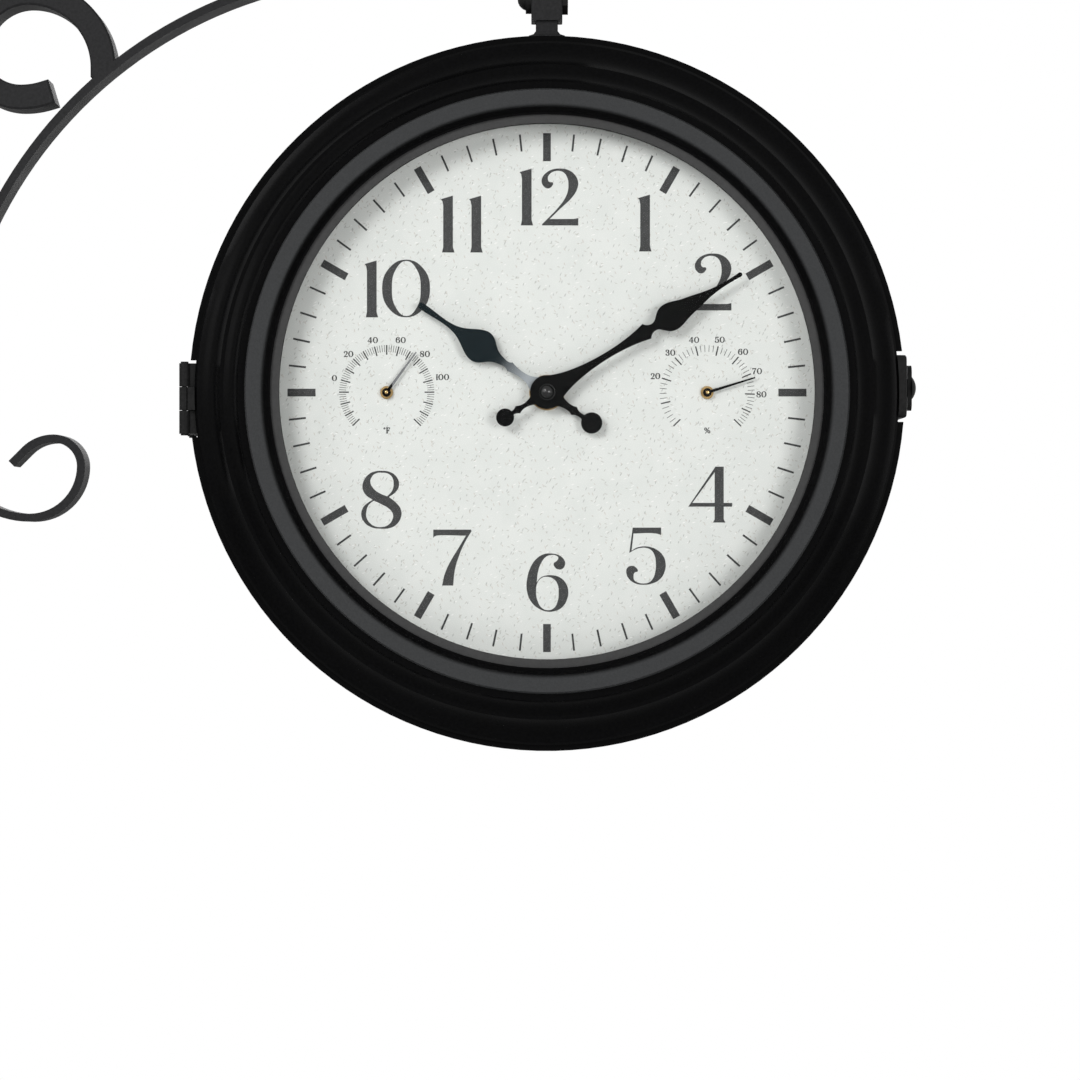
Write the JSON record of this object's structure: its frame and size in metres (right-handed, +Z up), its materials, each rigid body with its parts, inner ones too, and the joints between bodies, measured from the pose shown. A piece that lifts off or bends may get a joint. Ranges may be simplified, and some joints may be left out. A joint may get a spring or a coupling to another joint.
{
  "type": "double-sided outdoor bracket clock",
  "caption": "Round outdoor clock with a face on each side, hung from a wall bracket of scrolled flat bar; each face opens on a hinge and holds a thermometer and a hygrometer.",
  "frame": {"origin": "centre of the two wall screw holes, on the back of the wall plate", "axes": "+X away from the wall, +Z up, the front face looks along -Y"},
  "size_m": [0.4921, 0.0968, 0.4308],
  "materials": {
    "bracket_paint": "satin powder coat with a fine grain",
    "case_paint": "satin powder coat",
    "hardware_paint": "satin black paint over steel",
    "cap_plastic": "matte moulded plastic",
    "lens_glass": "clear flat glass",
    "gasket_rubber": "dark gray rubber",
    "dial_print": "off-white card with fine fibres and gray print",
    "zinc_steel": "zinc plated steel",
    "movement_plastic": "black moulded plastic",
    "brass": "plain brass",
    "battery_can": "plain wrapped cell with a bare steel end",
    "hour_hand_paint": "gloss blue-black lacquer",
    "minute_hand_paint": "satin black lacquer",
    "gray_needle": "gray lacquer",
    "black_needle": "black lacquer"
  },
  "bodies": {
    "bracket": {"wall_plate": "bracket_paint", "scroll_arc": "bracket_paint", "corner_scroll": "bracket_paint", "top_arm": "bracket_paint", "arm_end_cap": "cap_plastic", "hanger_sleeve": "bracket_paint", "hanger_bolt": "hardware_paint", "hanger_washer": "hardware_paint", "hanger_nut": "hardware_paint", "neck_post": "bracket_paint", "neck_foot": "bracket_paint", "case_ring": "case_paint", "fixed_leaves": "hardware_paint", "hinge_pins": "hardware_paint", "latch_post": "hardware_paint"},
    "latch_wing": {"latch_wing": "hardware_paint"},
    "front_face": {"bezel_front": "case_paint", "lens_front": "lens_glass", "gasket_front": "gasket_rubber", "spacer_ring_front": "case_paint", "dial_plate_front": "dial_print", "clamp_ring_front": "zinc_steel", "clamp_screws_front": "zinc_steel", "movement_case_front": "movement_plastic", "movement_nut_front": "brass", "battery_front": "battery_can", "thermometer_body_front": "brass", "hygrometer_body_front": "brass", "moving_leaf_front": "hardware_paint", "latch_strap_front": "hardware_paint"},
    "minute_hand_front": {"minute_hand_front": "minute_hand_paint", "cap_nut_front": "minute_hand_paint"},
    "hour_hand_front": {"hour_hand_front": "hour_hand_paint"},
    "setting_knob_front": {"setting_knob_front": "movement_plastic"},
    "thermometer_needle_front": {"thermometer_needle_front": "gray_needle"},
    "hygrometer_needle_front": {"hygrometer_needle_front": "black_needle"},
    "rear_face": {"bezel_rear": "case_paint", "lens_rear": "lens_glass", "gasket_rear": "gasket_rubber", "spacer_ring_rear": "case_paint", "dial_plate_rear": "dial_print", "clamp_ring_rear": "zinc_steel", "clamp_screws_rear": "zinc_steel", "movement_case_rear": "movement_plastic", "movement_nut_rear": "brass", "battery_rear": "battery_can", "thermometer_body_rear": "brass", "hygrometer_body_rear": "brass", "moving_leaf_rear": "hardware_paint", "latch_strap_rear": "hardware_paint"},
    "minute_hand_rear": {"minute_hand_rear": "minute_hand_paint", "cap_nut_rear": "minute_hand_paint"},
    "hour_hand_rear": {"hour_hand_rear": "hour_hand_paint"},
    "setting_knob_rear": {"setting_knob_rear": "movement_plastic"},
    "thermometer_needle_rear": {"thermometer_needle_rear": "gray_needle"},
    "hygrometer_needle_rear": {"hygrometer_needle_rear": "black_needle"}
  },
  "joints": [
    {"name": "latch_turn", "type": "hinge", "parent": "bracket", "child": "latch_wing", "pos_m": [0.4876, 0, -0.0816], "axis": [1, 0, 0], "range_deg": [0, 360]},
    {"name": "front_face_swing", "type": "hinge", "parent": "bracket", "child": "front_face", "pos_m": [0.1286, -0.02, -0.0876], "axis": [0, 0, -1], "range_deg": [0, 100]},
    {"name": "minute_front", "type": "hinge", "parent": "front_face", "child": "minute_hand_front", "pos_m": [0.3076, -0.0346, -0.085], "axis": [0, 1, 0], "continuous": true},
    {"name": "hour_front", "type": "hinge", "parent": "front_face", "child": "hour_hand_front", "pos_m": [0.3076, -0.0324, -0.085], "axis": [0, 1, 0], "continuous": true},
    {"name": "set_knob_front", "type": "hinge", "parent": "front_face", "child": "setting_knob_front", "pos_m": [0.3076, -0.01, -0.072], "axis": [0, 1, 0], "continuous": true},
    {"name": "thermometer_front", "type": "hinge", "parent": "front_face", "child": "thermometer_needle_front", "pos_m": [0.2288, -0.03, -0.085], "axis": [0, 1, 0], "range_deg": [-170, 97], "stiffness_Nm_per_rad": 0.001},
    {"name": "hygrometer_front", "type": "hinge", "parent": "front_face", "child": "hygrometer_needle_front", "pos_m": [0.3864, -0.03, -0.085], "axis": [0, 1, 0], "range_deg": [-207, 62], "stiffness_Nm_per_rad": 0.001},
    {"name": "rear_face_swing", "type": "hinge", "parent": "bracket", "child": "rear_face", "pos_m": [0.1286, 0.02, -0.0876], "axis": [0, 0, 1], "range_deg": [0, 100]},
    {"name": "minute_rear", "type": "hinge", "parent": "rear_face", "child": "minute_hand_rear", "pos_m": [0.3076, 0.0346, -0.085], "axis": [0, -1, 0], "continuous": true},
    {"name": "hour_rear", "type": "hinge", "parent": "rear_face", "child": "hour_hand_rear", "pos_m": [0.3076, 0.0324, -0.085], "axis": [0, -1, 0], "continuous": true},
    {"name": "set_knob_rear", "type": "hinge", "parent": "rear_face", "child": "setting_knob_rear", "pos_m": [0.3076, 0.01, -0.072], "axis": [0, -1, 0], "continuous": true},
    {"name": "thermometer_rear", "type": "hinge", "parent": "rear_face", "child": "thermometer_needle_rear", "pos_m": [0.3864, 0.03, -0.085], "axis": [0, -1, 0], "range_deg": [-170, 97], "stiffness_Nm_per_rad": 0.001},
    {"name": "hygrometer_rear", "type": "hinge", "parent": "rear_face", "child": "hygrometer_needle_rear", "pos_m": [0.2288, 0.03, -0.085], "axis": [0, -1, 0], "range_deg": [-207, 62], "stiffness_Nm_per_rad": 0.001}
  ],
  "couplings": [
    {"joint": "hour_front", "follows": "minute_front", "ratio": 0.083333},
    {"joint": "set_knob_front", "follows": "minute_front", "ratio": -0.33333},
    {"joint": "hour_rear", "follows": "minute_rear", "ratio": 0.083333},
    {"joint": "set_knob_rear", "follows": "minute_rear", "ratio": -0.33333}
  ]
}
